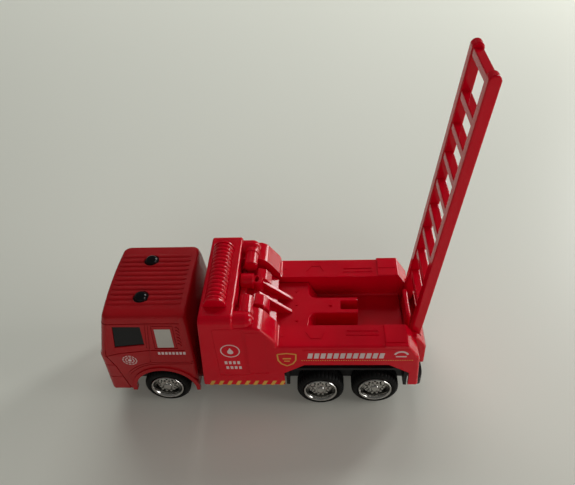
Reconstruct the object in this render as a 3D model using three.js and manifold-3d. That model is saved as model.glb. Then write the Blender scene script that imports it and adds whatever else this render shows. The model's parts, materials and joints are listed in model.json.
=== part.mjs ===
// Toy fire engine: a painted die-cast cab and a moulded body on a black base plate, six wheels on
// three free-turning axles, and a ladder that swings down over the hose roll.
// Millimetres. +X points forward, +Y to the vehicle's left, +Z up; the tyres stand on Z = 0.
// Places along the vehicle are "stations": the distance behind the front corners of the cab.

import * as THREE from 'three';
import { mergeVertices } from 'three/addons/utils/BufferGeometryUtils.js';
import ManifoldModule from 'manifold-3d';

// ---------------------------------------------------------------- driving dimensions

const GAP = 0.3;                        // running and assembly clearance between pieces
const TURN_STEPS = 20;                  // facets round a small turned shape

const BODY_HALF_WIDTH = 24.2;
const SKIRT_Z = 12.6;                   // lower edge of the body's sides
const BODY_WALL = 1.6;
const BLOCK = { front: 42, rear: 54.9, top: 52.1, foot: 39.2, chamferZ: 49.9, topHalf: 22 };
const SHOULDER = { z: 47.8, start: 62.8, facetEnd: 65.1, facetZ: 46.6, end: 70.4, lowZ: 39.2 };
const RAIL_TOP = 37;
const END_PAD = { start: 111.4, z: 37.5 };
const TOWER = { topEnd: 120.1, z: 29.8, end: 124.8, foot: 125.5 };
const BED = { start: 54.9, end: 121, half: 13.4, floor: 26 };
const TAIL = { half: 16.3, end: 128.5, bottom: 17, topStart: 124.4, topZ: 33, lipStart: 127.9, lipZ: 28 };
const RIDGE = { start: 121.1, end: 122.9, half: 6.9, top: 35.8 };

const ROLL = { station: 47.8, y: 0.8, radius: 4.1, half: 16.3, ribs: 15, ribDepth: 0.6 };
const PLATFORM = {
  start: 69.8, edge: 82.3, z: 34, slope: 3.7, fillet: 3.2, tongueEnd: 102.3, tongueHalf: 4.2,
};
const SLOT = { start: 95.3, half: 2.4 };
const BAY = { floor: 42.5, slopeStart: 60.5, end: 69.8, low: 36.5 };
const BRACKET = { y: 3.5, half: 0.75, top: 45.5, start: 63.2, end: 75.8, foot: 34.3 };
const NOZZLE = { y: -3.3, z: 45, radius: 3.2, end: 60.5 };
const EYE = { station: 61.7, y: -3.5, top: 46, radius: 2.5, alongHalf: 0.8, acrossHalf: 1.7, depth: 2 };
const BAY_KNOB = { station: 64.9, z: 44, radius: 0.9, length: 1.2 };
const BAY_HEADER = { end: 57.8, half: 11.5, top: 44.5 };
const BAY_BLOCK = { inner: 4.2, outer: 10, start: 61.5, top: 45.9, end: 67.2, low: 42 };
const ELBOW = { y: 20, z: 47.8, radius: 3.5, end: 58.9, branch: 2.75, collar: 3.1, reach: 8.5 };

const CAB_WALL = 1.5;
const CAB_BOTTOM = 9;
const ARCH_RADIUS = 12.5;
const ROOF = {
  z: 49.6, crown: 0.8, half: 18.8, flatHalf: 14, ribs: 13, ribPitch: 2.62, ribHalf: 0.75,
  ribHeight: 0.5, start: 5.4, end: 35.6,
};
const BEACON = { station: 18.1, y: 10.2, seat: 3.2, radius: 2.75, height: 1.9, stem: 1 };

const AXLE_Z = 9.5;
const AXLE_RADIUS = 1;
const WHEELSETS = [
  { name: 'front', station: 23.3, track: 23.3 },
  { name: 'middle', station: 86.7, track: 25 },
  { name: 'rear', station: 108.7, track: 24.3 },
];
const TYRE = { outer: AXLE_Z, bore: 7.1, width: 7.2, inset: 0.5, shoulder: 1.1 };
const HUB = { radius: 6.8, width: 6.8, boss: 7.4 };

const LADDER = {
  pivotStation: 124, pivotZ: 28, lean: THREE.MathUtils.degToRad(6.3), length: 111.9,
  half: 13, railWidth: 3.9, halfDepth: 1.95, firstRung: 15.7, pitch: 11.3, rungs: 8,
  rungHeight: 2.7, rungDepth: 3.2, topBar: 108.9, stub: 1.5, stubLength: 2.4,
};

const PLATE = { start: 5, end: 124.5, half: 15, bottom: 6.2, top: 7.7 };
const BUMPER = { bottom: 9.8, top: 14.2, start: 125.9, end: 127.8, half: 21.5, sweep: 5, thickness: 1.4 };
const SCREWS = [
  { name: 'front', station: 11.5 },
  { name: 'middle', station: 58 },
  { name: 'rear', station: 97.7 },
];
const SCREW = { head: 2.1, headHeight: 1.2, shank: 1.1, length: 8, post: 2.5 };

// The raised ladder reaches further back than the body, so it sets the overall length.
const LADDER_TIP = LADDER.length - LADDER.halfDepth;
const REAR_END = LADDER.pivotStation + LADDER_TIP * Math.sin(LADDER.lean) + LADDER.halfDepth;
const FRONT_END = -1;                   // the bowed front reaches this far past its corners
const atStation = (station) => (REAR_END + FRONT_END) / 2 - station;

// ---------------------------------------------------------------- solids from geometries

const wasm = await ManifoldModule();
wasm.setup();

function solid(geometry, matrix = new THREE.Matrix4()) {
  const bare = geometry.clone().applyMatrix4(matrix);
  bare.deleteAttribute('normal');
  bare.deleteAttribute('uv');
  const merged = mergeVertices(bare);
  return new wasm.Manifold(new wasm.Mesh({
    numProp: 3,
    vertProperties: new Float32Array(merged.attributes.position.array),
    triVerts: new Uint32Array(merged.index.array),
  }));
}

function geometryOf(body) {
  const { vertProperties, triVerts } = body.getMesh();
  const geometry = new THREE.BufferGeometry();
  geometry.setAttribute('position', new THREE.BufferAttribute(new Float32Array(vertProperties), 3));
  geometry.setIndex(new THREE.BufferAttribute(new Uint32Array(triVerts), 1));
  geometry.computeVertexNormals();
  return geometry;
}

const join = (pieces) => pieces.reduce((whole, piece) => whole.add(piece));
const cut = (body, tools) => tools.reduce((left, tool) => left.subtract(tool), body);
const bothSides = (make) => [make(1), make(-1)];

function box(stationFrom, stationTo, yFrom, yTo, zFrom, zTo) {
  const size = new THREE.Vector3(stationTo - stationFrom, Math.abs(yTo - yFrom), zTo - zFrom);
  const middle = new THREE.Vector3(
    atStation((stationFrom + stationTo) / 2), (yFrom + yTo) / 2, (zFrom + zTo) / 2);
  const geometry = new THREE.BoxGeometry(size.x, size.y, size.z);
  return solid(geometry, new THREE.Matrix4().setPosition(middle));
}

function outline(points) {
  return new THREE.Shape(points.map(([u, v]) => new THREE.Vector2(u, v)));
}

// An outline drawn in (X, Z) and pushed along Y.
function sidePrism(shape, yFrom, yTo) {
  const geometry = new THREE.ExtrudeGeometry(shape, { depth: yTo - yFrom, bevelEnabled: false });
  const turn = new THREE.Matrix4().makeRotationX(Math.PI / 2).setPosition(0, yTo, 0);
  return solid(geometry, turn);
}

const stationPrism = (points, yFrom, yTo) =>
  sidePrism(outline(points.map(([station, z]) => [atStation(station), z])), yFrom, yTo);

// An outline drawn in (Y, Z) and pushed backward from one station to the next.
function crossPrism(points, stationFrom, stationTo) {
  const depth = stationTo - stationFrom;
  const geometry = new THREE.ExtrudeGeometry(outline(points), { depth, bevelEnabled: false });
  const basis = new THREE.Matrix4().makeBasis(
    new THREE.Vector3(0, 1, 0), new THREE.Vector3(0, 0, 1), new THREE.Vector3(1, 0, 0));
  return solid(geometry, basis.setPosition(atStation(stationTo), 0, 0));
}

// An outline drawn in (X, Y) and pushed up.
function planPrism(shape, zFrom, zTo) {
  const geometry = new THREE.ExtrudeGeometry(shape, {
    depth: zTo - zFrom, bevelEnabled: false, curveSegments: 10 });
  return solid(geometry, new THREE.Matrix4().setPosition(0, 0, zFrom));
}

// A cylinder whose axis runs along Y, X or Z.
function rod(axis, radius, length, middle, steps = TURN_STEPS) {
  const turn = new THREE.Matrix4();
  if (axis === 'x') turn.makeRotationZ(Math.PI / 2);
  if (axis === 'z') turn.makeRotationX(Math.PI / 2);
  turn.setPosition(...middle);
  return solid(new THREE.CylinderGeometry(radius, radius, length, steps), turn);
}

const post = (station, radius, zFrom, zTo, steps = 16) =>
  rod('z', radius, zTo - zFrom, [atStation(station), 0, (zFrom + zTo) / 2], steps);

// A stack of rounded-rectangle rings joined into one closed skin.
function loft(rings) {
  const cornerSteps = 4;
  const positions = [];
  const loops = rings.map(({ z, front, rear, half, corner, bow }) => {
    const loop = [];
    const centres = [
      [rear - corner, half - corner, 0], [front + corner, half - corner, 1],
      [front + corner, corner - half, 2], [rear - corner, corner - half, 3],
    ];
    for (const [station, y, quarter] of centres) {
      for (let step = 0; step <= cornerSteps; step += 1) {
        const angle = (quarter + step / cornerSteps) * Math.PI / 2;
        const px = station + corner * Math.cos(angle);
        const py = y + corner * Math.sin(angle);
        const bowed = quarter === 1 || quarter === 2 ? bow * (py / half) ** 2 : 0;
        loop.push(positions.length / 3);
        positions.push(atStation(px + bowed), py, z);
      }
      if (quarter === 1) {
        loop.push(positions.length / 3);
        positions.push(atStation(front), 0, z);
      }
    }
    return loop;
  });
  const faces = [];
  const count = loops[0].length;
  for (let ring = 0; ring + 1 < loops.length; ring += 1) {
    for (let i = 0; i < count; i += 1) {
      const j = (i + 1) % count;
      const [a, b, c, d] = [loops[ring][i], loops[ring][j], loops[ring + 1][j], loops[ring + 1][i]];
      faces.push(a, c, b, a, d, c);
    }
  }
  for (const [loop, up] of [[loops[0], false], [loops.at(-1), true]]) {
    const flat = loop.map((index) => new THREE.Vector2(positions[3 * index], positions[3 * index + 1]));
    for (const [a, b, c] of THREE.ShapeUtils.triangulateShape(flat, [])) {
      const clockwise = THREE.ShapeUtils.area([flat[a], flat[b], flat[c]]) < 0;
      faces.push(...(clockwise === up ? [loop[a], loop[c], loop[b]] : [loop[a], loop[b], loop[c]]));
    }
  }
  const geometry = new THREE.BufferGeometry();
  geometry.setAttribute('position', new THREE.Float32BufferAttribute(positions, 3));
  geometry.setIndex(faces);
  return solid(geometry);
}

// ---------------------------------------------------------------- cab

const CAB_RINGS = [
  { z: CAB_BOTTOM, front: FRONT_END, rear: 36.8, half: 22.9, corner: 1.8, bow: 0.8 },
  { z: 27, front: -0.7, rear: 37.5, half: 23.4, corner: 2.2, bow: 1 },
  { z: 31, front: -0.7, rear: 37.5, half: 23.5, corner: 2.2, bow: 1 },
  { z: 33, front: 0.1, rear: 37.5, half: 23.2, corner: 2.2, bow: 1 },
  { z: 46.8, front: 2.9, rear: 36.8, half: 20.4, corner: 2.4, bow: 1 },
  { z: 48.8, front: 3.5, rear: 36.4, half: 19.8, corner: 2.4, bow: 1 },
  { z: ROOF.z, front: 4.5, rear: 35.6, half: ROOF.half, corner: 2.4, bow: 1 },
  { z: ROOF.z + ROOF.crown, front: 6.2, rear: 34.4, half: ROOF.flatHalf, corner: 2.4, bow: 1 },
];

const inset = (wall, drop, zFrom) => CAB_RINGS.map((ring, index) => ({
  ...ring,
  z: index === 0 ? zFrom : ring.z - drop,
  front: ring.front + wall,
  rear: ring.rear - wall,
  half: ring.half - wall,
}));

const roofZ = (y) =>
  ROOF.z + ROOF.crown * Math.min(1, (ROOF.half - Math.abs(y)) / (ROOF.half - ROOF.flatHalf));
const BEACON_SEAT_Z = ROOF.z + 0.5 * ROOF.crown;

function cabShell() {
  const ribStart = -(ROOF.ribs - 1) / 2;
  const ribs = Array.from({ length: ROOF.ribs }, (_, index) => {
    const y = (ribStart + index) * ROOF.ribPitch;
    const foot = ROOF.z - 0.6;
    const crest = roofZ(y) + ROOF.ribHeight;
    return crossPrism([
      [y - ROOF.ribHalf, foot], [y + ROOF.ribHalf, foot],
      [y + ROOF.ribHalf / 2, crest], [y - ROOF.ribHalf / 2, crest],
    ], ROOF.start, ROOF.end);
  });
  const wheelSide = (radius, length) =>
    rod('y', radius, length, [atStation(WHEELSETS[0].station), 0, AXLE_Z], 36);
  const arches = wheelSide(ARCH_RADIUS + 1.8, 2 * (BODY_HALF_WIDTH - 0.4))
    .subtract(wheelSide(ARCH_RADIUS + 2, 2 * 22));
  const skin = join([loft(CAB_RINGS), ...ribs, arches.intersect(box(5, 37.2, -30, 30, CAB_BOTTOM, 40))]);

  const sideWindow = [[7.2, 35.3], [8, 45.3], [18.8, 45.2], [19.2, 36.6]];
  const windscreen = box(-2, 12, -17.2, 17.2, 34.4, 44.8);
  const beaconHoles = bothSides((side) => [
    rod('z', BEACON.seat, 4, [atStation(BEACON.station), side * BEACON.y, BEACON_SEAT_Z + 2]),
    rod('z', BEACON.stem + GAP, 8, [atStation(BEACON.station), side * BEACON.y, ROOF.z], 12),
  ]).flat();
  const hollow = loft(inset(CAB_WALL, CAB_WALL, CAB_BOTTOM - 2));
  const shell = cut(skin, [
    hollow, stationPrism(sideWindow, -30, 30), windscreen, wheelSide(ARCH_RADIUS, 60), ...beaconHoles,
  ]);
  const screwPost = post(SCREWS[0].station, SCREW.post, CAB_BOTTOM - 0.8, ROOF.z - 0.3);
  return shell.add(screwPost).subtract(post(SCREWS[0].station, SCREW.shank + GAP, 0, 17, 12));
}

function cabGlazing() {
  const thickness = 1.2;
  const fit = CAB_WALL + GAP;
  const band = loft(inset(fit, fit, 12)).subtract(loft(inset(fit + thickness, -3, 10)));
  return band.intersect(box(0, 26, -30, 30, 31.4, 46));
}

function beacon() {
  const dome = [];
  const steps = 6;
  for (let step = 0; step <= steps; step += 1) {
    const angle = step / steps * Math.PI / 2;
    dome.push(new THREE.Vector2(BEACON.radius * Math.cos(angle), 0.4 + BEACON.height * Math.sin(angle)));
  }
  const profile = [
    new THREE.Vector2(0, -4), new THREE.Vector2(BEACON.stem, -4), new THREE.Vector2(BEACON.stem, 0),
    new THREE.Vector2(BEACON.radius, 0), ...dome.slice(0, -1), new THREE.Vector2(0, 0.4 + BEACON.height),
  ];
  return solid(new THREE.LatheGeometry(profile, TURN_STEPS), new THREE.Matrix4().makeRotationX(Math.PI / 2));
}

// ---------------------------------------------------------------- body

const WHEEL_OPENING = [
  [121.5, 0], [121.5, 20.9], [113.3, 26.1], [80.7, 26.1], [72.5, 20.9], [72.5, 0],
];

const BODY_SIDE = [
  [BLOCK.foot, SKIRT_Z], [BLOCK.front, BLOCK.top], [BLOCK.rear, BLOCK.top], [BLOCK.rear, SHOULDER.z],
  [SHOULDER.start, SHOULDER.z], [SHOULDER.facetEnd, SHOULDER.facetZ],
  [SHOULDER.end, SHOULDER.lowZ], [SHOULDER.end, RAIL_TOP],
  [END_PAD.start, RAIL_TOP], [END_PAD.start, END_PAD.z], [TOWER.topEnd, END_PAD.z],
  [TOWER.end, TOWER.z], [TOWER.foot, SKIRT_Z],
];

function bodyShell() {
  const half = BODY_HALF_WIDTH;
  const outside = stationPrism(BODY_SIDE, -half, half).intersect(crossPrism([
    [-half, 0], [half, 0], [half, BLOCK.chamferZ], [BLOCK.topHalf, BLOCK.top],
    [-BLOCK.topHalf, BLOCK.top], [-half, BLOCK.chamferZ],
  ], BLOCK.foot, TAIL.end));

  const inner = half - BODY_WALL;
  const hollow = stationPrism([
    [BLOCK.foot + BODY_WALL, 0], [BLOCK.front + BODY_WALL, BLOCK.top - BODY_WALL],
    [BLOCK.rear - BODY_WALL, BLOCK.top - BODY_WALL], [BLOCK.rear - BODY_WALL, SHOULDER.z - BODY_WALL],
    [SHOULDER.start - 0.6, SHOULDER.z - BODY_WALL], [SHOULDER.facetEnd - 1, SHOULDER.facetZ - BODY_WALL],
    [SHOULDER.end - BODY_WALL, SHOULDER.lowZ - BODY_WALL],
    [SHOULDER.end - BODY_WALL, RAIL_TOP - BODY_WALL], [TOWER.topEnd - 0.6, RAIL_TOP - BODY_WALL],
    [TOWER.end - BODY_WALL, TOWER.z - 0.6], [TOWER.foot - BODY_WALL, 0],
  ], -inner, inner).intersect(crossPrism([
    [-inner, 0], [inner, 0], [inner, BLOCK.chamferZ - BODY_WALL], [BLOCK.topHalf - 0.8, BLOCK.top],
    [0.8 - BLOCK.topHalf, BLOCK.top], [-inner, BLOCK.chamferZ - BODY_WALL],
  ], BLOCK.foot, TAIL.end));

  const wallHalf = BED.half + BODY_WALL;
  const tray = box(BED.start - BODY_WALL, BED.end + 3, -wallHalf, wallHalf, BED.floor - 2, 60);
  const bed = box(BED.start, BED.end, -BED.half, BED.half, BED.floor, 60);
  const tail = stationPrism([
    [RIDGE.start + 1.4, TAIL.bottom], [RIDGE.start + 1.4, BED.floor - 2], [RIDGE.start - 1, BED.floor - 2],
    [RIDGE.start - 1, TAIL.topZ], [TAIL.topStart, TAIL.topZ],
    [TAIL.lipStart, TAIL.lipZ], [TAIL.end, TAIL.lipZ - 1], [TAIL.end, TAIL.bottom],
  ], -TAIL.half, TAIL.half);
  const pocket = box(BED.end - 0.5, TAIL.end - 2, -BED.half, BED.half, 24.8, 60);
  const ridge = box(RIDGE.start, RIDGE.end, -RIDGE.half, RIDGE.half, 24, RIDGE.top - 0.9)
    .add(rod('y', 0.9, 2 * RIDGE.half, [atStation((RIDGE.start + RIDGE.end) / 2), 0, RIDGE.top - 0.9], 16));
  const pivotHoles = bothSides((side) => rod('y', LADDER.stub + GAP, 5.2, [
    atStation(LADDER.pivotStation), side * BED.half, LADDER.pivotZ]));
  const elbows = bothSides(elbow);
  const posts = [
    post(SCREWS[1].station, SCREW.post, PLATE.top + GAP, BED.floor),
    post(SCREWS[2].station, SCREW.post, PLATE.top + GAP, BED.floor - 1),
  ];
  const screwHoles = SCREWS.slice(1).map(({ station }) =>
    post(station, SCREW.shank + GAP, 0, 17, 12));
  const pegHoles = bothSides((side) => rollPeg(side, 1.2 + GAP));

  const openings = bothSides((side) => stationPrism(
    WHEEL_OPENING, side > 0 ? inner - 1 : -half - 1, side > 0 ? half + 1 : 1 - inner));
  const shell = cut(outside, [hollow.subtract(tray), ...openings]);
  const hull = cut(join([shell, tail]), [bed, pocket, ...pivotHoles, ...pegHoles]);
  return cut(join([hull, ridge, ...elbows, ...posts]), screwHoles);
}

// The fat pipe on each shoulder: it leaves the block rearward, ends in a dome, and sends a
// thinner branch inward over the bay.
function elbow(side) {
  const { y, z, radius, end, branch, collar, reach } = ELBOW;
  const start = BLOCK.rear - 1;
  const run = rod('x', radius, end - start, [atStation((start + end) / 2), side * y, z], 20);
  const dome = solid(new THREE.SphereGeometry(radius, 20, 12),
    new THREE.Matrix4().makeRotationZ(Math.PI / 2).setPosition(atStation(end), side * y, z));
  const inward = rod('y', branch, y - reach, [atStation(end), side * (y + reach) / 2, z], 16);
  const ring = rod('y', collar, 2.4, [atStation(end), side * (y - radius), z], 16);
  return join([run, dome, inward, ring]);
}

// ---------------------------------------------------------------- hose roll

const rollPeg = (side, radius) =>
  rod('z', radius, 5, [atStation(ROLL.station), ROLL.y + side * 12, BLOCK.top - 0.3], 12);

function hoseRoll() {
  const pitch = 2 * (ROLL.half - 1) / ROLL.ribs;
  const profile = [new THREE.Vector2(0, -ROLL.half), new THREE.Vector2(ROLL.radius + 0.2, -ROLL.half)];
  profile.push(new THREE.Vector2(ROLL.radius + 0.2, 1 - ROLL.half));
  for (let rib = 0; rib < ROLL.ribs; rib += 1) {
    const start = 1 - ROLL.half + rib * pitch;
    profile.push(new THREE.Vector2(ROLL.radius - ROLL.ribDepth, start + 0.12 * pitch));
    profile.push(new THREE.Vector2(ROLL.radius, start + 0.35 * pitch));
    profile.push(new THREE.Vector2(ROLL.radius, start + 0.65 * pitch));
    profile.push(new THREE.Vector2(ROLL.radius - ROLL.ribDepth, start + 0.88 * pitch));
  }
  profile.push(new THREE.Vector2(ROLL.radius + 0.2, ROLL.half - 1));
  profile.push(new THREE.Vector2(ROLL.radius + 0.2, ROLL.half), new THREE.Vector2(0, ROLL.half));
  const seat = BLOCK.top + 0.1;
  const drum = solid(new THREE.LatheGeometry(profile, 12),
    new THREE.Matrix4().setPosition(atStation(ROLL.station), ROLL.y, seat));
  const above = drum.intersect(box(30, 70, -30, 30, seat, 70));
  return join([above, ...bothSides((side) => rollPeg(side, 1.2))]);
}

// ---------------------------------------------------------------- equipment deck

function equipmentDeck() {
  const half = BED.half - GAP;
  const seat = BED.floor + GAP;
  const { edge, fillet, slope, tongueEnd, tongueHalf } = PLATFORM;
  const front = PLATFORM.start - 3;
  const platform = new THREE.Shape();
  platform.moveTo(atStation(front), -half);
  platform.lineTo(atStation(edge), -half);
  platform.quadraticCurveTo(atStation(edge + 0.6), -tongueHalf - 1.4, atStation(edge + fillet), -tongueHalf);
  platform.lineTo(atStation(tongueEnd), -tongueHalf);
  platform.lineTo(atStation(tongueEnd), tongueHalf);
  platform.lineTo(atStation(edge + fillet), tongueHalf);
  platform.quadraticCurveTo(atStation(edge + 0.6), tongueHalf + 1.4, atStation(edge), half);
  platform.lineTo(atStation(front), half);
  platform.closePath();
  const slopes = stationPrism(
    [[edge - 4, seat], [edge + slope, seat], [edge, PLATFORM.z], [edge - 4, PLATFORM.z]], -half, half);

  const bayStart = BED.start + GAP;
  const bay = stationPrism([
    [bayStart, seat], [bayStart, BAY.floor], [BAY.slopeStart, BAY.floor], [BAY.end, BAY.low], [BAY.end, seat],
  ], -half, half);
  const nozzle = rod('x', NOZZLE.radius, NOZZLE.end - bayStart,
    [atStation((bayStart + NOZZLE.end) / 2), NOZZLE.y, NOZZLE.z], 16);
  const boss = rod('z', EYE.radius, 8, [atStation(EYE.station), EYE.y, EYE.top - 4], 16);
  const eye = new THREE.Shape();
  eye.absellipse(atStation(EYE.station), EYE.y, EYE.alongHalf, EYE.acrossHalf, 0, 2 * Math.PI);
  const header = box(bayStart, BAY_HEADER.end, -BAY_HEADER.half, BAY_HEADER.half,
    BAY.floor - 1, BAY_HEADER.top);
  const knob = rod('y', BAY_KNOB.radius, BAY_KNOB.length,
    [atStation(BAY_KNOB.station), BAY_BLOCK.outer, BAY_KNOB.z], 12);
  const whole = join([
    planPrism(platform, seat, PLATFORM.z), slopes, bay, ...bothSides(bracket), boss, nozzle,
    header, ...bothSides(bayBlock), knob,
  ]).subtract(planPrism(eye, EYE.top - EYE.depth, EYE.top + 1));

  const roomBelow = [
    box(bayStart + 1.5, BAY.end - 1.5, 1.5 - half, half - 1.5, 20, BAY.low - 1.5),
    box(BAY.end - 2, edge - 3, 1.5 - half, half - 1.5, 20, PLATFORM.z - 1.5),
  ];
  const slot = box(SLOT.start, tongueEnd + 5, -SLOT.half, SLOT.half, 20, 60);
  const pip = rod('z', 0.7, 1.4, [atStation(91.4), 0, PLATFORM.z], 12);
  return cut(whole, [...roomBelow, slot]).add(pip);
}

// A thin triangular blade that runs down from the bay to the platform.
function bracket(side) {
  const { y, half, top, start, end, foot } = BRACKET;
  return stationPrism([
    [start - 0.6, BAY.low - 1], [start - 0.6, top], [start, top], [end, foot],
    [end, PLATFORM.z - 1], [BAY.end - 1, PLATFORM.z - 1],
  ], side * y - half, side * y + half);
}

// A block with a sloping back, outboard of each blade.
function bayBlock(side) {
  const { inner, outer, start, top, end, low } = BAY_BLOCK;
  const [from, to] = side > 0 ? [inner, outer] : [-outer, -inner];
  return stationPrism([
    [start, BAY.low], [start, top], [start + 1.7, top], [start + 3.8, top - 0.9], [end, low], [end, BAY.low],
  ], from, to);
}

// ---------------------------------------------------------------- ladder

// Built upright with the pivot at its origin.
function ladder() {
  const { half, railWidth, halfDepth, length, stub, stubLength } = LADDER;
  const rail = new THREE.Shape();
  rail.absarc(0, 0, halfDepth, Math.PI, 2 * Math.PI, false);
  rail.lineTo(halfDepth, length - halfDepth);
  rail.absarc(0, length - halfDepth, halfDepth, 0, Math.PI, false);
  rail.closePath();
  const rails = [[half - railWidth, half], [-half, railWidth - half]].map(([from, to]) => {
    const geometry = new THREE.ExtrudeGeometry(rail, {
      depth: to - from, bevelEnabled: false, curveSegments: 10 });
    return solid(geometry, new THREE.Matrix4().makeRotationX(Math.PI / 2).setPosition(0, to, 0));
  });
  const rungAt = (height) => solid(
    new THREE.BoxGeometry(LADDER.rungDepth, 2 * (half - railWidth / 2), LADDER.rungHeight),
    new THREE.Matrix4().setPosition(0, 0, height));
  const heights = Array.from({ length: LADDER.rungs }, (_, i) => LADDER.firstRung + i * LADDER.pitch);
  const stubs = bothSides((side) =>
    rod('y', stub, stubLength + 1, [0, side * (half + stubLength / 2 - 0.5), 0], 16));
  return join([...rails, ...[...heights, LADDER.topBar].map(rungAt), ...stubs]);
}

// ---------------------------------------------------------------- chassis base

function chassisBase() {
  const plate = box(PLATE.start, PLATE.end, -PLATE.half, PLATE.half, PLATE.bottom, PLATE.top);
  const wallTop = 21.2;
  const walls = bothSides((side) => {
    const inside = side * (PLATE.half - BODY_WALL);
    const outside = side * PLATE.half;
    const [low, high] = side > 0 ? [inside, outside] : [outside, inside];
    return [
      box(16.5, 31, low, high, PLATE.bottom, 15),
      box(74, 120.3, low, high, PLATE.bottom, wallTop),
    ];
  }).flat();
  const guardHalf = BODY_HALF_WIDTH - BODY_WALL - 0.5;
  const wings = bothSides((side) => {
    const [low, high] = side > 0 ? [PLATE.half - 1, guardHalf] : [-guardHalf, 1 - PLATE.half];
    return [
      box(73, 121.3, low, high, 20, wallTop),
      box(73, 74.3, low, high, 10.6, wallTop),
      box(120, 121.3, low, high, 10.2, wallTop),
    ];
  }).flat();
  const bumper = planPrism(rearBumperOutline(), BUMPER.bottom, BUMPER.top);
  const bumperArm = box(PLATE.end - 4, BUMPER.end - 1, -6, 6, PLATE.bottom, 11.5);
  const axleHoles = WHEELSETS.map(({ station }) =>
    rod('y', AXLE_RADIUS + GAP, 60, [atStation(station), 0, AXLE_Z], 16));
  const screwHoles = SCREWS.map(({ station }) => post(station, SCREW.shank + GAP, 0, 9, 12));
  const ribs = [40, 66, 80].map((station) => box(station, station + 1.5, -12, 12, PLATE.bottom, 11));
  const whole = join([plate, ...walls, ...wings, bumper, bumperArm, ...ribs]);
  return cut(whole, [...axleHoles, ...screwHoles]);
}

// A bar across the back whose ends sweep forward.
function rearBumperOutline() {
  const { start, end, half, sweep, thickness } = BUMPER;
  const shape = new THREE.Shape();
  shape.moveTo(atStation(start), half);
  shape.quadraticCurveTo(atStation(end), half, atStation(end), half - sweep);
  shape.lineTo(atStation(end), sweep - half);
  shape.quadraticCurveTo(atStation(end), -half, atStation(start), -half);
  shape.lineTo(atStation(start), -half + 1);
  shape.lineTo(atStation(end - thickness), sweep - half);
  shape.lineTo(atStation(end - thickness), half - sweep);
  shape.lineTo(atStation(start), half - 1);
  shape.closePath();
  return shape;
}

// ---------------------------------------------------------------- wheels, axles, screws

// Wheel profiles are (radius, distance outward from the hub's outer face), turned about Y.
function hub() {
  const { radius, width, boss } = HUB;
  const profile = [
    [0, -0.7], [2.2, -0.7], [2.6, -1.2], [4.9, -1.5], [5.5, -2.2], [6.1, -0.2], [radius, 0],
    [radius, -width], [radius - 1.2, -width], [radius - 1.6, -4], [2.4, -4], [2.4, -boss],
    [AXLE_RADIUS + GAP, -boss], [AXLE_RADIUS + GAP, -3], [0, -3],
  ].map(([r, out]) => new THREE.Vector2(r, out));
  return solid(new THREE.LatheGeometry(profile.reverse(), TURN_STEPS));
}

function tyre() {
  const { outer, bore, width, inset: set, shoulder } = TYRE;
  const inner = -set - width;
  const profile = [
    [bore, -set], [bore, inner], [outer - shoulder, inner], [outer - 0.3, inner + 0.4 * shoulder],
    [outer, inner + shoulder], [outer, -set - shoulder], [outer - 0.3, -set - 0.4 * shoulder],
    [outer - shoulder, -set], [bore, -set],
  ].map(([r, out]) => new THREE.Vector2(r, out));
  return solid(new THREE.LatheGeometry(profile, 28));
}

const axle = (track) => rod('y', AXLE_RADIUS, 2 * (track - 3 - GAP), [0, 0, 0], 12);

function screw() {
  const head = rod('z', SCREW.head, SCREW.headHeight, [0, 0, -SCREW.headHeight / 2], 16);
  return head.add(rod('z', SCREW.shank, SCREW.length, [0, 0, SCREW.length / 2 - 0.1], 12));
}

// ---------------------------------------------------------------- scene graph

const FINISH = {
  redPaint: { color: 0xa81620, roughness: 0.35, metalness: 0.1 },
  redPlastic: { color: 0xd4112b, roughness: 0.25, metalness: 0 },
  darkGlazing: { color: 0x0c0d0e, roughness: 0.1, metalness: 0 },
  blackPlastic: { color: 0x141414, roughness: 0.55, metalness: 0 },
  silverPlating: { color: 0xc9c9cc, roughness: 0.25, metalness: 1 },
  rubber: { color: 0x101010, roughness: 0.8, metalness: 0 },
  steel: { color: 0x9a9b9e, roughness: 0.3, metalness: 1 },
};

const vehicle = new THREE.Group();

function place(parent, name, body, finish, position = [0, 0, 0]) {
  const mesh = new THREE.Mesh(geometryOf(body), new THREE.MeshStandardMaterial(FINISH[finish]));
  mesh.name = name;
  mesh.position.set(...position);
  parent.add(mesh);
  return mesh;
}

place(vehicle, 'cab_shell', cabShell(), 'redPaint');
place(vehicle, 'cab_glazing', cabGlazing(), 'darkGlazing');
for (const [name, side] of [['left', 1], ['right', -1]]) {
  place(vehicle, `roof_beacon_${name}`, beacon(), 'darkGlazing',
    [atStation(BEACON.station), side * BEACON.y, BEACON_SEAT_Z + 0.1]);
}
place(vehicle, 'body_shell', bodyShell(), 'redPlastic');
place(vehicle, 'equipment_deck', equipmentDeck(), 'redPlastic');
place(vehicle, 'hose_roll', hoseRoll(), 'redPlastic');
place(vehicle, 'chassis_base', chassisBase(), 'blackPlastic');

const ladderPivot = new THREE.Group();
ladderPivot.position.set(atStation(LADDER.pivotStation), 0, LADDER.pivotZ);
ladderPivot.rotation.y = -LADDER.lean;
vehicle.add(ladderPivot);
place(ladderPivot, 'ladder', ladder(), 'redPlastic');

for (const { name, station, track } of WHEELSETS) {
  const wheelset = new THREE.Group();
  wheelset.position.set(atStation(station), 0, AXLE_Z);
  vehicle.add(wheelset);
  place(wheelset, `${name}_axle`, axle(track), 'steel');
  for (const [sideName, turn] of [['left', 0], ['right', Math.PI]]) {
    const wheel = new THREE.Group();
    wheel.rotation.z = turn;
    wheel.position.y = turn === 0 ? track : -track;
    wheelset.add(wheel);
    place(wheel, `${name}_hub_${sideName}`, hub(), 'silverPlating');
    place(wheel, `${name}_tyre_${sideName}`, tyre(), 'rubber');
  }
}

for (const { name, station } of SCREWS) {
  place(vehicle, `${name}_screw`, screw(), 'steel', [atStation(station), 0, PLATE.bottom - 0.1]);
}

export default vehicle;
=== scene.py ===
import json
import math

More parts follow.
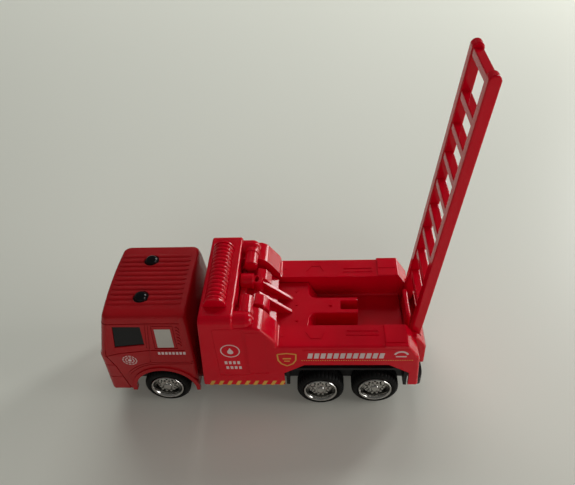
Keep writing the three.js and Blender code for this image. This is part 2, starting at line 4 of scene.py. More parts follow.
import bmesh
import bpy
from mathutils import Matrix, Vector


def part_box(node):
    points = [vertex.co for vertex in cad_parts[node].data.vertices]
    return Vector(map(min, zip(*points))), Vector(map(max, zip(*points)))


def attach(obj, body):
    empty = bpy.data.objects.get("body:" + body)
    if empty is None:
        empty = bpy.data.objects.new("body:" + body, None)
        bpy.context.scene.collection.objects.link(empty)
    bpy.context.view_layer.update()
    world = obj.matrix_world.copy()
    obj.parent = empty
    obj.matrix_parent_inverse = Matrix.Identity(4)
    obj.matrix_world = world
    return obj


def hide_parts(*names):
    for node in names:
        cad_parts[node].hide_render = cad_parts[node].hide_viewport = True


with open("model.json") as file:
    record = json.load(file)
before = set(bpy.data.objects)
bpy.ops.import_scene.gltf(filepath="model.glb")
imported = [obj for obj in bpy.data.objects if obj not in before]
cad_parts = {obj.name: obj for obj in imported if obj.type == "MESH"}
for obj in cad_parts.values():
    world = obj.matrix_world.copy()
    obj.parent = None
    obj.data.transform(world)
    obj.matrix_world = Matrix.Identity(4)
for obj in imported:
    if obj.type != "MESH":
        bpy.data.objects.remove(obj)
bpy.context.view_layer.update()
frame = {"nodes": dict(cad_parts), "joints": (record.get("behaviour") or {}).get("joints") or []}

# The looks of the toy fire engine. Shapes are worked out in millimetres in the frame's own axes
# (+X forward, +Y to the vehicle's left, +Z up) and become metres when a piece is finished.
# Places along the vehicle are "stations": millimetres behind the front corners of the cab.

MM = 0.001
SIDES = {"left": 1, "right": -1}
FRONT_STATION = -1.0
STATION_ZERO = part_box("cab_shell")[1].x / MM + FRONT_STATION
JOINTS = {joint["name"]: [v / MM for v in joint["pos_m"]] for joint in frame["joints"]}


def at(station):
    """The X of a station."""
    return STATION_ZERO - station


# ---------------------------------------------------------------- solids

def solid(name, verts, faces):
    mesh = bpy.data.meshes.new(name)
    mesh.from_pydata(verts, [], faces)
    shape = bmesh.new()
    shape.from_mesh(mesh)
    bmesh.ops.recalc_face_normals(shape, faces=shape.faces)
    shape.to_mesh(mesh)
    shape.free()
    obj = bpy.data.objects.new(name, mesh)
    bpy.context.scene.collection.objects.link(obj)
    return obj


def skin(name, loops, closed=False):
    """Quads between loops of equal length; the ends are capped unless the row of loops closes."""
    count = len(loops[0])
    verts = [point for loop in loops for point in loop]
    rows = len(loops) if closed else len(loops) - 1
    faces = []
    for row in range(rows):
        near, far = row * count, (row + 1) % len(loops) * count
        for i in range(count):
            j = (i + 1) % count
            faces.append((near + i, near + j, far + j, far + i))
    if not closed:
        faces.append(tuple(range(count)))
        faces.append(tuple(range((len(loops) - 1) * count, len(loops) * count)))
    return solid(name, verts, faces)


def side_prism(outline, y_low, y_high):
    """An outline of (station, z) points pushed along Y."""
    return skin("prism", [[(at(s), y, z) for s, z in outline] for y in (y_low, y_high)])


def cross_prism(outline, from_station, to_station):
    """An outline of (y, z) points pushed along X."""
    return skin("prism", [[(at(s), y, z) for y, z in outline] for s in (from_station, to_station)])


def plan_prism(outline, z_low, z_high):
    """An outline of (station, y) points pushed up."""
    return skin("prism", [[(at(s), y, z) for s, y in outline] for z in (z_low, z_high)])


def box(s_low, s_high, y_low, y_high, z_low, z_high):
    outline = [(s_low, z_low), (s_high, z_low), (s_high, z_high), (s_low, z_high)]
    return side_prism(outline, y_low, y_high)


def turned(profile, axis, centre, steps=64, sense=1):
    """The loops of a profile of (radius, distance along the axis) points turned about an axis."""
    loops = []
    for radius, along in profile:
        loop = []
        for step in range(steps):
            angle = 2 * math.pi * step / steps
            a, b = radius * math.cos(angle), radius * math.sin(angle)
            shift = sense * along
            offset = {"x": (shift, a, b), "y": (a, shift, b), "z": (a, b, shift)}[axis]
            loop.append(tuple(c + o for c, o in zip(centre, offset)))
        loops.append(loop)
    return loops


def rod(axis, radius, length, centre, steps=48):
    profile = [(radius, -length / 2), (radius, length / 2)]
    return skin("rod", turned(profile, axis, centre, steps))


def ball(radius, centre, steps=32):
    profile = []
    for step in range(1, steps // 2):
        angle = math.pi * step / (steps // 2)
        profile.append((radius * math.sin(angle), -radius * math.cos(angle)))
    return skin("ball", turned(profile, "x", centre, steps))


def baked(obj):
    """Replaces an object's mesh by its modified mesh."""
    graph = bpy.context.evaluated_depsgraph_get()
    mesh = bpy.data.meshes.new_from_object(obj.evaluated_get(graph), depsgraph=graph)
    obj.modifiers.clear()
    obj.data = mesh
    return obj


def combine(body, tools, operation):
    for tool in tools:
        modifier = body.modifiers.new(operation, "BOOLEAN")
        modifier.operation = operation
        modifier.solver = "MANIFOLD"
        modifier.object = tool
    baked(body)
    for tool in tools:
        bpy.data.objects.remove(tool)
    return body


def join(body, *tools):
    return combine(body, tools, "UNION")


def cut(body, *tools):
    return combine(body, tools, "DIFFERENCE")


def common(body, *tools):
    return combine(body, tools, "INTERSECT")


def bevelled(obj, width, segments=3, angle=32):
    modifier = obj.modifiers.new("bevel", "BEVEL")
    modifier.width = width
    modifier.segments = segments
    modifier.limit_method = "ANGLE"
    modifier.angle_limit = math.radians(angle)
    return baked(obj)


def stroke(points, width):
    """The outline of a line of that width through (u, v) points."""
    left, right = [], []
    for i, point in enumerate(points):
        before, after = points[max(i - 1, 0)], points[min(i + 1, len(points) - 1)]
        du, dv = after[0] - before[0], after[1] - before[1]
        length = math.hypot(du, dv)
        nu, nv = -dv / length * width / 2, du / length * width / 2
        left.append((point[0] + nu, point[1] + nv))
        right.append((point[0] - nu, point[1] - nv))
    return left + right[::-1]


def arc(centre, radius, start, end, steps=16):
    """Points round a centre, with angles in degrees."""
    points = []
    for step in range(steps + 1):
        angle = math.radians(start + (end - start) * step / steps)
        points.append((centre[0] + radius * math.cos(angle), centre[1] + radius * math.sin(angle)))
    return points


def finished(obj, name, body, material, stands_for=(), sharp=38):
    """Names a shape, brings it to metres, smooths its curved faces and hangs it on its body."""
    obj.name = obj.data.name = name
    obj.data.transform(Matrix.Scale(MM, 4))
    obj.data.polygons.foreach_set("use_smooth", [True] * len(obj.data.polygons))
    obj.data.set_sharp_from_angle(angle=math.radians(sharp))
    obj.data.materials.clear()
    obj.data.materials.append(MATERIALS[material])
    weighted = obj.modifiers.new("even shading", "WEIGHTED_NORMAL")
    weighted.keep_sharp = True
    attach(obj, body)
    if stands_for:
        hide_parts(*stands_for)
    return obj


# ---------------------------------------------------------------- materials

def socket(shader, name, value):
    shader.inputs[name].default_value = value


def plastic(name, colour, roughness, spread, peel_scale, peel_depth, metallic=0.0, tone=0.12,
            specular=0.5):
    """A moulded, painted or plated surface: slow colour and gloss drift over a fine surface relief."""
    material = bpy.data.materials.new(name)
    material.use_nodes = True
    nodes, links = material.node_tree.nodes, material.node_tree.links
    shader = nodes["Principled BSDF"]
    socket(shader, "Metallic", metallic)
    socket(shader, "Specular IOR Level", specular)
    place = nodes.new("ShaderNodeTexCoord")

    drift = nodes.new("ShaderNodeTexNoise")
    socket(drift, "Scale", 55.0)
    socket(drift, "Detail", 5.0)
    tones = nodes.new("ShaderNodeValToRGB")
    tones.color_ramp.elements[0].position = 0.3
    tones.color_ramp.elements[1].position = 0.7
    tones.color_ramp.elements[0].color = (*[c * (1 - tone) for c in colour], 1)
    tones.color_ramp.elements[1].color = (*[min(1, c * (1 + tone / 2)) for c in colour], 1)
    links.new(place.outputs["Object"], drift.inputs["Vector"])
    links.new(drift.outputs["Fac"], tones.inputs["Fac"])
    links.new(tones.outputs["Color"], shader.inputs["Base Color"])

    smear = nodes.new("ShaderNodeTexNoise")
    socket(smear, "Scale", 240.0)
    socket(smear, "Detail", 8.0)
    gloss = nodes.new("ShaderNodeMapRange")
    socket(gloss, "From Min", 0.3)
    socket(gloss, "From Max", 0.7)
    socket(gloss, "To Min", roughness - spread)
    socket(gloss, "To Max", roughness + spread)
    links.new(place.outputs["Object"], smear.inputs["Vector"])
    links.new(smear.outputs["Fac"], gloss.inputs["Value"])
    links.new(gloss.outputs["Result"], shader.inputs["Roughness"])

    peel = nodes.new("ShaderNodeTexNoise")
    socket(peel, "Scale", peel_scale)
    socket(peel, "Detail", 3.0)
    relief = nodes.new("ShaderNodeBump")
    socket(relief, "Strength", 0.6)
    socket(relief, "Distance", peel_depth)
    links.new(place.outputs["Object"], peel.inputs["Vector"])
    links.new(peel.outputs["Fac"], relief.inputs["Height"])
    links.new(relief.outputs["Normal"], shader.inputs["Normal"])
    return material


MATERIALS = {
    "paint": plastic("red_enamel", (0.35, 0.005, 0.009), 0.22, 0.05, 900, 0.00006, specular=0.3),
    "red": plastic("red_moulding", (0.58, 0.0, 0.012), 0.13, 0.04, 700, 0.00003, tone=0.08,
                   specular=0.28),
    "glass": plastic("black_glazing", (0.004, 0.004, 0.005), 0.10, 0.03, 400, 0.00001, specular=0.3),
    "black": plastic("black_moulding", (0.011, 0.011, 0.012), 0.48, 0.08, 1500, 0.00008, specular=0.3),
    "plated": plastic("bright_plating", (0.66, 0.65, 0.63), 0.16, 0.04, 500, 0.00003, metallic=1.0),
    "rubber": plastic("tyre_rubber", (0.005, 0.005, 0.005), 0.60, 0.08, 1200, 0.0001, tone=0.3,
                      specular=0.2),
    "steel": plastic("drawn_steel", (0.36, 0.36, 0.37), 0.34, 0.08, 800, 0.00005, metallic=1.0),
    "print_white": plastic("white_print", (0.66, 0.52, 0.52), 0.42, 0.05, 1500, 0.00002, tone=0.15),
    "print_gold": plastic("gold_print", (0.66, 0.36, 0.06), 0.40, 0.05, 1500, 0.00002, tone=0.15),
    "print_silver": plastic("silver_print", (0.44, 0.42, 0.38), 0.42, 0.08, 1500, 0.00003),
}


# ---------------------------------------------------------------- cab

# Each ring: z, front station, rear station, half width, corner radius, bow of the front.
CAB_RINGS = [
    (9.0, -1.0, 36.8, 22.9, 1.8, 0.8),
    (18.0, -0.85, 37.1, 23.15, 2.0, 0.9),
    (27.0, -0.7, 37.5, 23.4, 2.2, 1.0),
    (30.6, -0.7, 37.5, 23.5, 2.2, 1.0),
    (31.6, -0.5, 37.5, 23.45, 2.2, 1.0),
    (33.0, 0.1, 37.5, 23.2, 2.2, 1.0),
    (46.0, 2.7, 36.9, 20.6, 2.4, 1.0),
    (48.8, 3.4, 36.5, 20.0, 2.6, 1.0),
    (49.4, 3.7, 36.2, 19.7, 2.7, 1.0),
    (49.8, 4.1, 35.9, 19.2, 2.8, 1.0),
    (50.0, 4.8, 35.3, 18.4, 2.8, 1.0),
    (50.2, 6.2, 34.2, 16.5, 2.8, 1.0),
    (50.4, 8.5, 32.5, 13.0, 2.8, 1.0),
]
ROOF_Z = 50.4
ARCH_RADIUS = 12.5
FRONT_ARCH_CENTRE = (23.3, 9.5)
FRONT_AXLE = (at(FRONT_ARCH_CENTRE[0]), 0, FRONT_ARCH_CENTRE[1])
RIBS = {"count": 13, "pitch": 2.62, "half": 1.08, "height": 0.45, "start": 5.2, "end": 34.2}
BEACON = {"station": 18.1, "y": 10.2, "seat": 3.1, "stem": 1.3}
SCREW_POST = {"radius": 2.5, "bore": 1.4, "cab_station": 11.5, "body_stations": (58, 97.7)}
GROOVE = 0.32


def cab_loft(inset=0.0, drop=0.0, bottom=None, corner_steps=8):
    loops = []
    for z, front, rear, half, corner, bow in CAB_RINGS:
        front, rear, half = front + inset, rear - inset, half - inset
        loop = []
        corners = [
            (rear - corner, half - corner), (front + corner, half - corner),
            (front + corner, corner - half), (rear - corner, corner - half),
        ]
        for quarter, (s, y) in enumerate(corners):
            for step in range(corner_steps + 1):
                angle = (quarter + step / corner_steps) * math.pi / 2
                ps, py = s + corner * math.cos(angle), y + corner * math.sin(angle)
                bowed = bow * (py / half) ** 2 if quarter in (1, 2) else 0
                loop.append((at(ps + bowed), py, z - drop))
            if quarter == 1:
                inner = half - corner
                for step in range(1, 12):
                    py = inner * (1 - step / 6)
                    loop.append((at(front + bow * (py / half) ** 2), py, z - drop))
        loops.append(loop)
    if bottom is not None:
        loops[0] = [(x, y, bottom) for x, y, _ in loops[0]]
    return skin("cab", loops)


def cab_half(z):
    """The cab's half width at a height."""
    for low, high in zip(CAB_RINGS, CAB_RINGS[1:]):
        if z <= high[0]:
            share = max(0, (z - low[0]) / (high[0] - low[0]))
            return low[3] + share * (high[3] - low[3])
    return CAB_RINGS[-1][3]


def roof_rib(y):
    """A long low ridge with rounded ends."""
    loops = []
    rows = 24
    for row in range(rows + 1):
        share = 1 - math.cos(math.pi * row / rows)
        station = RIBS["start"] + (RIBS["end"] - RIBS["start"]) * share / 2
        from_end = min(station - RIBS["start"], RIBS["end"] - station)
        taper = math.sqrt(min(1, from_end / 2.2 + 0.02))
        edge = max(0, abs(y) - 11)
        base = ROOF_Z - 0.035 * edge ** 1.8 - 0.12 * max(0, 9 - station) ** 1.2 / 2
        half, height = RIBS["half"] * taper, RIBS["height"] * taper
        loop = [(at(station), y + half, base - 1.4)]
        for u, v in arc((0, 0), 1, 0, 180, 8):
            loop.append((at(station), y + half * u, base + height * v))
        loop.append((at(station), y - half, base - 1.4))
        loops.append(loop)
    return skin("rib", loops)


def cab_grooves():
    """The panel lines, cut a fixed depth into the skin on both sides and across the front."""
    lines = [
        stroke([(3.6, 46.4), (20, 46.7), (34, 46.7)], 0.4),
        stroke([(22.0, 46.4), (21.4, 40), (20.9, 33.9), (20.6, 31), (19.9, 27.4)], 0.42),
        stroke([(20.9, 46.4), (20.3, 40), (19.9, 35.2)], 0.3),
        stroke([(2.6, 30.9), (8, 32.4), (20.6, 34.0), (34.6, 34.0)], 0.42),
        stroke([(3.4, 34.2), (3.0, 31.2), (5.4, 24), (8.0, 9)], 0.42),
        stroke([(-2, 25.2), (4.9, 25.2)], 0.36),
        stroke([(-2, 17.4), (6.6, 17.4)], 0.36),
        stroke(arc(FRONT_ARCH_CENTRE, 16.4, 166, 88, 20) + [(36.8, 25.9)], 0.42),
        stroke(arc(FRONT_ARCH_CENTRE, 17.5, 160, 90, 20) + [(36.8, 27.0)], 0.32),
    ]
    lines += [stroke(corner, 0.38) for corner in (
        [(23.0, 45.6), (31.3, 45.6)], [(31.3, 45.8), (31.9, 34.9)],
        [(32.1, 34.9), (23.2, 34.9)], [(23.2, 34.7), (23.0, 45.8)])]
    lines += [stroke(arc((32.2, 35.9 + 1.55 * row), 1.5, 10, 88, 6), 0.42) for row in range(6)]
    sides = join(*[side_prism(line, -30, 30) for line in lines])
    grille = [box(-3, 6, -10.5, 10.5, z, z + 0.7) for z in (19.6, 21.4, 23.2, 27, 28.6)]
    lamps = [cross_prism(arc((side * 16.4, 13.6), 2.3, 0, 360, 24)[:-1], -3, 6) for side in (1, -1)]
    lamps += [cross_prism(stroke([(side * 13, 21.3), (side * 20, 21.3)], 3.6), -3, 6)
              for side in (1, -1)]
    front = join(box(-3, 6, -22, 22, 17.2, 17.6), *grille, *lamps)
    return cut(join(sides, front), cab_loft(inset=GROOVE))


SIDE_WINDOW = [(7.2, 35.3), (8.0, 45.3), (18.8, 45.2), (19.2, 36.6)]
WINDSCREEN = [(-17.2, 34.4), (17.2, 34.4), (15.6, 45), (-15.6, 45)]
PANE_DEPTH = 0.45


def scaled(outline, share):
    """An outline drawn in towards its middle."""
    u = sum(point[0] for point in outline) / len(outline)
    v = sum(point[1] for point in outline) / len(outline)
    return [(u + share * (a - u), v + share * (b - v)) for a, b in outline]


def window_prisms(share):
    """Prisms through the side windows and the windscreen."""
    sides = side_prism(scaled(SIDE_WINDOW, share), -30, 30)
    return [sides, cross_prism(scaled(WINDSCREEN, share), -2, 12)]


def cab_body():
    lip = rod("y", ARCH_RADIUS + 1.7, 2 * 23.8, FRONT_AXLE, 96)
    lip = cut(lip, rod("y", ARCH_RADIUS + 2, 44, FRONT_AXLE))
    lip = common(lip, box(5, 37.2, -30, 30, 9, 40))
    body = join(cab_loft(), lip)
    body = cut(body, *window_prisms(1), rod("y", ARCH_RADIUS, 60, FRONT_AXLE, 96))
    body = bevelled(body, 0.3, 2)
    body = cut(body, cab_loft(inset=1.5, drop=1.5, bottom=7))
    ribs = [roof_rib((i - (RIBS["count"] - 1) / 2) * RIBS["pitch"]) for i in range(RIBS["count"])]
    body = join(body, *ribs)
    seats, stems = [], []
    for side in SIDES.values():
        x, y = at(BEACON["station"]), side * BEACON["y"]
        seats.append(rod("z", BEACON["seat"], 2, (x, y, ROOF_Z + 0.65)))
        stems.append(rod("z", BEACON["stem"], 8, (x, y, ROOF_Z)))
    body = cut(body, cab_grooves(), *seats, *stems)
    x = at(SCREW_POST["cab_station"])
    post = rod("z", SCREW_POST["radius"], 41, (x, 0, 28.7))
    body = join(body, cut(post, rod("z", SCREW_POST["bore"], 20, (x, 0, 12))))
    return finished(body, "cab_casting", "vehicle", "paint", ["cab_shell"], sharp=30)


def cab_windows():
    """A black band inside the cab whose panes stand out into the window openings."""
    depth = cut(cab_loft(inset=PANE_DEPTH), cab_loft(inset=2.2, drop=2, bottom=7))
    panes = common(join(*window_prisms(0.992)), depth)
    band = cut(cab_loft(inset=1.8, drop=1.8, bottom=12), cab_loft(inset=3.0, drop=-3, bottom=10))
    band = common(band, box(0, 26, -30, 30, 31.4, 46))
    band = join(band, panes)
    return finished(bevelled(band, 0.1, 2), "cab_window_moulding", "vehicle", "glass", ["cab_glazing"])


def beacon(name, side):
    dome = arc((0, 0.5), 1, 0, 88, 10)
    profile = [(0.01, -4), (1, -4), (1, 0), (2.95, 0), (2.95, 0.42), (2.62, 0.5)]
    profile += [(2.55 * u, 0.5 + 1.9 * (v - 0.5)) for u, v in dome[1:]]
    centre = (at(BEACON["station"]), side * BEACON["y"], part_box(f"roof_beacon_{name}")[0].z / MM + 4)
    lamp = skin("lamp", turned(profile, "z", centre, 48))
    return finished(lamp, f"beacon_lens_{name}", "vehicle", "glass", [f"roof_beacon_{name}"])


# ---------------------------------------------------------------- body

HALF = 24.2
SKIRT_Z = 12.6
WALL = 1.6
RAIL_Z = 37.0
BLOCK = {"front": 42, "rear": 54.9, "top": 52.1, "foot": 39.2}
SHOULDER = {"z": 47.8, "start": 62.8, "facet_end": 65.1, "facet_z": 46.6, "end": 70.4, "low": 39.2}
PAD = {"start": 111.4, "z": 37.5}
BLOCK_ROUND = 3.0
TOWER = {"top_end": 120.1, "z": 29.8, "end": 124.8, "foot": 125.5}
BED = {"start": 54.9, "end": 121, "half": 13.4, "floor": 26}
TAIL = {"half": 16.3, "end": 128.5, "bottom": 17, "start": 124.4, "z": 33, "lip": 127.9, "lip_z": 28}
RIDGE = {"start": 121.1, "end": 122.9, "half": 6.9, "top": 35.8}
PIVOT = JOINTS["ladder_pivot"]
ELBOW = {"y": 20, "z": 47.8, "radius": 3.5, "end": 58.9, "branch": 2.75, "collar": 3.1, "reach": 8.5}


def rounded_section(half, top, radius):
    """The cross section of the body, with round upper corners."""
    right = arc((half - radius, top - radius), radius, 0, 90, 8)
    return [(-half, 0), (half, 0)] + right + [(-y, z) for y, z in right[::-1]]


def rail_pad(side):
    """The raised pad at the rear of a rail."""
    low, high = RAIL_Z - 1, PAD["z"]
    outline = [(PAD["start"], low), (PAD["start"], high),
               (TOWER["top_end"], high), (TOWER["top_end"] + 0.9, low)]
    return bevelled(side_prism(outline, *sorted((side * BED["half"], side * HALF))), 0.35, 3)


def body_outside():
    side = [
        (BLOCK["foot"], SKIRT_Z), (BLOCK["front"], BLOCK["top"]), (BLOCK["rear"], BLOCK["top"]),
        (BLOCK["rear"], SHOULDER["z"]), (SHOULDER["start"], SHOULDER["z"]),
        (SHOULDER["facet_end"], SHOULDER["facet_z"]), (SHOULDER["end"], SHOULDER["low"]),
        (SHOULDER["end"], RAIL_Z), (TOWER["top_end"] + 0.3, RAIL_Z), (TOWER["end"], TOWER["z"]),
        (TOWER["foot"], SKIRT_Z),
    ]
    section = rounded_section(HALF, BLOCK["top"], BLOCK_ROUND)
    return common(side_prism(side, -HALF, HALF), cross_prism(section, BLOCK["foot"] - 1, TAIL["end"]))


def body_inside():
    inner, top = HALF - WALL, BLOCK["top"] - WALL
    side = [
        (BLOCK["foot"] + WALL, 0), (BLOCK["front"] + WALL, top), (BLOCK["rear"] - WALL, top),
        (BLOCK["rear"] - WALL, SHOULDER["z"] - WALL), (SHOULDER["start"] - 0.6, SHOULDER["z"] - WALL),
        (SHOULDER["facet_end"] - 1, SHOULDER["facet_z"] - WALL),
        (SHOULDER["end"] - WALL, SHOULDER["low"] - WALL), (SHOULDER["end"] - WALL, RAIL_Z - WALL),
        (TOWER["top_end"] - 0.6, RAIL_Z - WALL), (TOWER["end"] - WALL, TOWER["z"] - 0.6),
        (TOWER["foot"] - WALL, 0),
    ]
    section = rounded_section(inner, top, BLOCK_ROUND)
    hollow = common(side_prism(side, -inner, inner), cross_prism(section, BLOCK["foot"] - 1, TAIL["end"]))
    wall = BED["half"] + WALL
    return cut(hollow, box(BED["start"] - WALL, BED["end"] + 3, -wall, wall, BED["floor"] - 2, 60))


def elbow(side):
    y, z, radius, end = side * ELBOW["y"], ELBOW["z"], ELBOW["radius"], ELBOW["end"]
    start = BLOCK["rear"] - 1
    run = rod("x", radius, end - start, (at((start + end) / 2), y, z))
    reach, branch = ELBOW["reach"], ELBOW["branch"]
    profile = [
        (branch - 0.9, reach), (branch - 0.35, reach + 0.12), (branch, reach + 0.55), (branch, 15.4),
        (ELBOW["collar"], 15.7), (ELBOW["collar"], 17.7), (branch, 18), (branch, abs(y)),
    ]
    inward = skin("branch", turned(profile, "y", (at(end), 0, z), 48, side))
    return join(run, ball(radius, (at(end), y, z), 48), inward)


def tail():
    outline = [
        (RIDGE["start"] + 1.4, TAIL["bottom"]), (RIDGE["start"] + 1.4, BED["floor"] - 2),
        (RIDGE["start"] - 1, BED["floor"] - 2), (RIDGE["start"] - 1, TAIL["z"]),
        (TAIL["start"], TAIL["z"]),
        (TAIL["lip"], TAIL["lip_z"]), (TAIL["end"], TAIL["lip_z"] - 1), (TAIL["end"], TAIL["bottom"]),
    ]
    return side_prism(outline, -TAIL["half"], TAIL["half"])


def rail_relief():
    """The raised lines, rear panels and pips on top of both rails."""
    low, high = RAIL_Z - 0.5, RAIL_Z + 0.28
    pieces = []
    for side in (1, -1):
        def strip(points, width=0.34, top=high):
            return plan_prism(stroke([(s, side * y) for s, y in points], width), low, top)
        pieces += [
            strip([(81.5, 16.9), (82.9, 18.8)]), strip([(87.2, 20.1), (88.5, 17)]),
            strip([(81.6, 17.0), (83.4, 19.9), (86.9, 19.9)], 0.3),
            strip([(94.3, 14.2), (94.3, 23.1)], 0.4, RAIL_Z + 0.2),
            strip([(97, 16.2), (109.2, 16.2)], 0.3), strip([(97, 18.3), (109.2, 18.3)], 0.3),
            strip([(97, 16.05), (97, 18.45)], 0.3), strip([(109.2, 16.05), (109.2, 18.45)], 0.3),
            plan_prism([(111.9, side * 17.9), (119, side * 17.9),
                        (119, side * 22.4), (111.9, side * 22.4)], PAD["z"] - 0.5, PAD["z"] + 0.25),
            rod("z", 0.55, 1, (at(72.4), side * 18.5, RAIL_Z - 0.2), 20),
        ]
    return pieces


def side_grooves():
    """The faint shutter and panel outlines on both body sides."""
    def frame_of(s_low, s_high, z_low, z_high, width=0.3):
        corners = [(s_low, z_low), (s_high, z_low), (s_high, z_high), (s_low, z_high)]
        return [stroke([corners[i], corners[(i + 1) % 4]], width) for i in range(4)]
    outlines = frame_of(47, 58, 19.7, 47.5) + frame_of(59.1, 66.4, 21, 45.6)
    outlines += [stroke([(58.7, 19.7), (58.7, 47)], 0.25), stroke([(80, 35.4), (122, 35.4)], 0.28)]
    grooves = []
    for side in (1, -1):
        low, high = sorted((side * (HALF - 0.16), side * (HALF + 1)))
        grooves += [side_prism(outline, low, high) for outline in outlines]
    return grooves


def body_moulding():
    body = bevelled(body_outside(), 1.0, 4, 25)
    wheel_opening = [
        (121.5, 0), (121.5, 20.9), (113.3, 26.1), (80.7, 26.1), (72.5, 20.9), (72.5, 0),
    ]
    inner = HALF - WALL
    openings = [side_prism(wheel_opening, *sorted((side * (inner - 1), side * (HALF + 1))))
                for side in (1, -1)]
    body = cut(body, body_inside(), *openings)
    body = join(body, bevelled(tail(), 0.7, 3))
    bed = box(BED["start"], BED["end"], -BED["half"], BED["half"], BED["floor"], 70)
    bed = bevelled(bed, 0.9, 3)
    pocket = box(BED["end"] - 0.5, TAIL["end"] - 2, -BED["half"], BED["half"], 24.8, 60)
    pivots = [rod("y", 1.8, 5.2, (PIVOT[0], side * BED["half"], PIVOT[2])) for side in (1, -1)]
    pegs = [rod("z", 1.5, 5, (at(ROLL["station"]), ROLL["y"] + side * 12, BLOCK["top"] - 0.3))
            for side in (1, -1)]
    body = cut(body, bed, pocket, *pivots, *pegs)
    middle = (RIDGE["start"] + RIDGE["end"]) / 2
    ridge = box(RIDGE["start"], RIDGE["end"], -RIDGE["half"], RIDGE["half"], 24, RIDGE["top"])
    ridge = bevelled(ridge, 0.7, 4)
    caps = [ball(0.95, (at(middle), side * (RIDGE["half"] - 0.4), RIDGE["top"] - 0.95))
            for side in (1, -1)]
    posts = []
    for station in SCREW_POST["body_stations"]:
        centre = (at(station), 0, (BED["floor"] + 7) / 2)
        post = rod("z", SCREW_POST["radius"], BED["floor"] - 9, centre)
        posts.append(cut(post, rod("z", SCREW_POST["bore"], 20, (at(station), 0, 7))))
    body = bevelled(body, 0.22, 2, 48)
    body = join(body, rail_pad(1), rail_pad(-1), ridge, *caps, elbow(1), elbow(-1), *posts)
    body = join(body, *rail_relief())
    body = cut(body, *side_grooves())
    return finished(body, "body_moulding", "vehicle", "red", ["body_shell"], sharp=32)


# ---------------------------------------------------------------- hose roll

ROLL = {
    "station": 47.8, "y": 0.8, "radius": 4.1, "half": 16.3, "ribs": 15, "depth": 0.75,
    "flange": 4.3, "flange_width": 0.9,
}


def hose_roll():
    """A ribbed drum between two flanges, cut flat where it rests on the block."""
    half, flange, width = ROLL["half"], ROLL["flange"], ROLL["flange_width"]
    pitch = 2 * (half - width) / ROLL["ribs"]
    profile = [(0.01, -half), (flange - 0.4, -half), (flange, 0.25 - half), (flange, width - half)]
    for rib in range(ROLL["ribs"]):
        start = width - half + rib * pitch
        for u, v in arc((0.5, 0), 1, 172, 8, 8):
            along = start + pitch * (0.5 + (u - 0.5) / 2)
            profile.append((ROLL["radius"] - ROLL["depth"] * (1 - v), along))
    profile += [(flange, half - width), (flange, half - 0.25), (flange - 0.4, half), (0.01, half)]
    centre = (at(ROLL["station"]), ROLL["y"], BLOCK["top"] + 0.1)
    drum = skin("drum", turned(profile, "y", centre, 64))
    drum = common(drum, box(30, 70, -30, 30, BLOCK["top"] + 0.1, 70))
    return finished(drum, "hose_roll_moulding", "vehicle", "red", ["hose_roll"], sharp=50)


# ---------------------------------------------------------------- equipment deck

DECK = {
    "start": 69.8, "edge": 82.3, "z": 34, "slope": 3.7, "fillet": 3.2, "tongue_end": 102.3, "tongue": 4.2,
    "seat": 26.3, "half": 13.1,
}
BAY = {"floor": 42.5, "slope": 60.5, "end": 69.8, "low": 36.5, "start": 55.2}
BRACKET = {"y": 3.5, "half": 0.75, "top": 45.5, "start": 63.2, "end": 75.8, "foot": 34.3}
NOZZLE = {"y": -3.3, "z": 45, "radius": 3.2, "end": 60.5}
EYE = {"station": 61.7, "y": -3.5, "top": 46, "radius": 2.5, "along": 0.8, "across": 1.7, "depth": 2}
DECK_STUDS = [(77.4, -0.2), (77.6, 8.4), (77.2, -7.6)]
BLOCKS = {"inner": 4.2, "outer": 10, "start": 61.5, "top": 45.9, "end": 67.2, "low": 42}


def deck_outline(spread):
    """The platform with its tongue, seen from above; spread pushes the sloped rear edge outward."""
    edge, tongue, fillet = DECK["edge"], DECK["tongue"], DECK["fillet"]
    right = [(edge - 0.3 + spread, DECK["half"])]
    for step in range(9):
        t = step / 8
        s = (1 - t) ** 2 * edge + 2 * t * (1 - t) * (edge + 0.3) + t ** 2 * (edge + fillet)
        y = (1 - t) ** 2 * (tongue + fillet) + 2 * t * (1 - t) * (tongue + 0.3) + t ** 2 * tongue
        right.append((s + spread * (1 - t), y))
    right.append((DECK["tongue_end"], tongue))
    return [(DECK["start"] - 3, DECK["half"])] + right + [(s, -y) for s, y in right[::-1]] + [
        (DECK["start"] - 3, -DECK["half"])]


def platform():
    levels = [(DECK["seat"], 1), (DECK["z"] - 0.4, 0.06), (DECK["z"], 0)]
    return skin("platform", [
        [(at(s), y, z) for s, y in deck_outline(share * DECK["slope"])] for z, share in levels])


def bracket(side):
    """A thin upright plate that slopes from the bay down to the platform."""
    y, half, start, end = side * BRACKET["y"], BRACKET["half"], BRACKET["start"], BRACKET["end"]
    return bevelled(side_prism([
        (start - 0.6, BAY["low"] - 1), (start - 0.6, BRACKET["top"]), (start, BRACKET["top"]),
        (end, BRACKET["foot"]), (end, DECK["z"] - 1), (BAY["end"] - 1, DECK["z"] - 1),
    ], y - half, y + half), 0.2, 3)


def bay_block(side):
    """A block with a sloping back, outboard of each bracket."""
    start, top, end = BLOCKS["start"], BLOCKS["top"], BLOCKS["end"]
    outline = [(start, BAY["low"]), (start, top), (start + 1.7, top), (start + 3.8, top - 0.9),
               (end, BLOCKS["low"]), (end, BAY["low"])]
    low, high = sorted((side * BLOCKS["inner"], side * BLOCKS["outer"]))
    return bevelled(side_prism(outline, low, high), 0.35, 3)


def oval_eye():
    """The tool for the oval hole in the bay's round boss."""
    outline = [(EYE["station"] + EYE["along"] * u, EYE["y"] + EYE["across"] * v)
               for u, v in arc((0, 0), 1, 0, 360, 32)[:-1]]
    return plan_prism(outline, EYE["top"] - EYE["depth"], EYE["top"] + 3)


